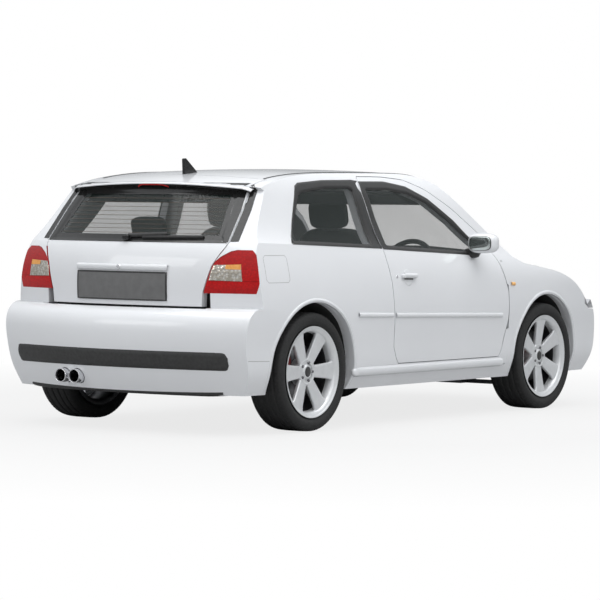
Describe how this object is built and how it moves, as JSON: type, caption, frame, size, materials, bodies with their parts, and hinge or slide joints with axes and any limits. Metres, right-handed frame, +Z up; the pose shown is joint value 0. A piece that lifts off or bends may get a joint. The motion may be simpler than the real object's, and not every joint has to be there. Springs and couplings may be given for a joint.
{
  "type": "hatchback car",
  "caption": "Compact three-door hatchback with opening doors, bonnet and tailgate, steered front wheels and a furnished cabin.",
  "frame": {"origin": "on the ground, midway between the bumpers and between the sides", "axes": "+X points forward, +Y to the car's left, +Z up"},
  "size_m": [4.083, 1.9704, 1.484],
  "materials": {
    "paint": "glossy white paint",
    "glass": "tinted safety glass",
    "tyre": "black rubber",
    "rim": "silver lacquered alloy",
    "lamp_clear": "clear lamp cover over bright reflectors",
    "lamp_red": "red and clear lamp cover",
    "fabric": "dark woven seat cloth",
    "plastic": "grained black plastic",
    "underbody": "dark underbody coating",
    "cast": "bare casting",
    "steel": "stainless tube"
  },
  "bodies": {
    "body": {"roof_panel": "paint", "cowl_panel": "paint", "side_panel_left": "paint", "side_panel_right": "paint", "floor_pan": "underbody", "fender_left": "paint", "fender_right": "paint", "quarter_glass_left": "glass", "quarter_glass_right": "glass", "windscreen": "glass", "front_bumper": "paint", "rear_bumper": "paint", "headlamps": "lamp_clear", "tail_lamps": "lamp_red", "grille": "plastic", "bumper_insert": "plastic", "exhaust": "steel", "rear_axle": "cast", "seat_left": "fabric", "seat_right": "fabric", "rear_bench": "fabric", "dashboard": "plastic", "engine_block": "cast", "antenna": "plastic", "front_suspension": "cast"},
    "bonnet": {"bonnet": "paint"},
    "tailgate": {"tailgate": "paint", "tailgate_glass": "glass"},
    "door_left": {"door_left": "paint", "door_glass_left": "glass", "mirror_left": "paint"},
    "door_right": {"door_right": "paint", "door_glass_right": "glass", "mirror_right": "paint"},
    "steering": {"steering_wheel": "plastic"},
    "knuckle_left": {"knuckle_left": "cast"},
    "knuckle_right": {"knuckle_right": "cast"},
    "wheel_front_left": {"tyre_front_left": "tyre", "rim_front_left": "rim"},
    "wheel_front_right": {"tyre_front_right": "tyre", "rim_front_right": "rim"},
    "wheel_rear_left": {"tyre_rear_left": "tyre", "rim_rear_left": "rim"},
    "wheel_rear_right": {"tyre_rear_right": "tyre", "rim_rear_right": "rim"}
  },
  "joints": [
    {"name": "door_left_hinge", "type": "hinge", "parent": "body", "child": "door_left", "pos_m": [0.7, 0.85, 0.6], "axis": [0, 0, -1], "range_deg": [0, 62]},
    {"name": "door_right_hinge", "type": "hinge", "parent": "body", "child": "door_right", "pos_m": [0.7, -0.85, 0.6], "axis": [0, 0, 1], "range_deg": [0, 62]},
    {"name": "bonnet_hinge", "type": "hinge", "parent": "body", "child": "bonnet", "pos_m": [1, 0, 0.935], "axis": [0, -1, 0], "range_deg": [0, 50]},
    {"name": "tailgate_hinge", "type": "hinge", "parent": "body", "child": "tailgate", "pos_m": [-1.42, 0, 1.36], "axis": [0, 1, 0], "range_deg": [0, 78]},
    {"name": "steer_left", "type": "hinge", "parent": "body", "child": "knuckle_left", "pos_m": [1.19, 0.69, 0.19], "axis": [0, -0.2158, 0.9764], "range_deg": [-33, 33]},
    {"name": "steer_right", "type": "hinge", "parent": "body", "child": "knuckle_right", "pos_m": [1.19, -0.69, 0.19], "axis": [0, 0.2158, 0.9764], "range_deg": [-33, 33]},
    {"name": "steering_wheel_turn", "type": "hinge", "parent": "body", "child": "steering", "pos_m": [0.36, -0.365, 0.86], "axis": [-0.9063, 0, 0.4226], "range_deg": [-495, 495]},
    {"name": "wheel_front_left_spin", "type": "hinge", "parent": "knuckle_left", "child": "wheel_front_left", "pos_m": [1.19, 0.7375, 0.325], "axis": [0, 1, 0], "continuous": true},
    {"name": "wheel_front_right_spin", "type": "hinge", "parent": "knuckle_right", "child": "wheel_front_right", "pos_m": [1.19, -0.7375, 0.325], "axis": [0, 1, 0], "continuous": true},
    {"name": "wheel_rear_left_spin", "type": "hinge", "parent": "body", "child": "wheel_rear_left", "pos_m": [-1.285, 0.7375, 0.325], "axis": [0, 1, 0], "continuous": true},
    {"name": "wheel_rear_right_spin", "type": "hinge", "parent": "body", "child": "wheel_rear_right", "pos_m": [-1.285, -0.7375, 0.325], "axis": [0, 1, 0], "continuous": true}
  ],
  "couplings": [
    {"joint": "steer_right", "follows": "steer_left", "ratio": 1},
    {"joint": "steering_wheel_turn", "follows": "steer_left", "ratio": 15}
  ]
}
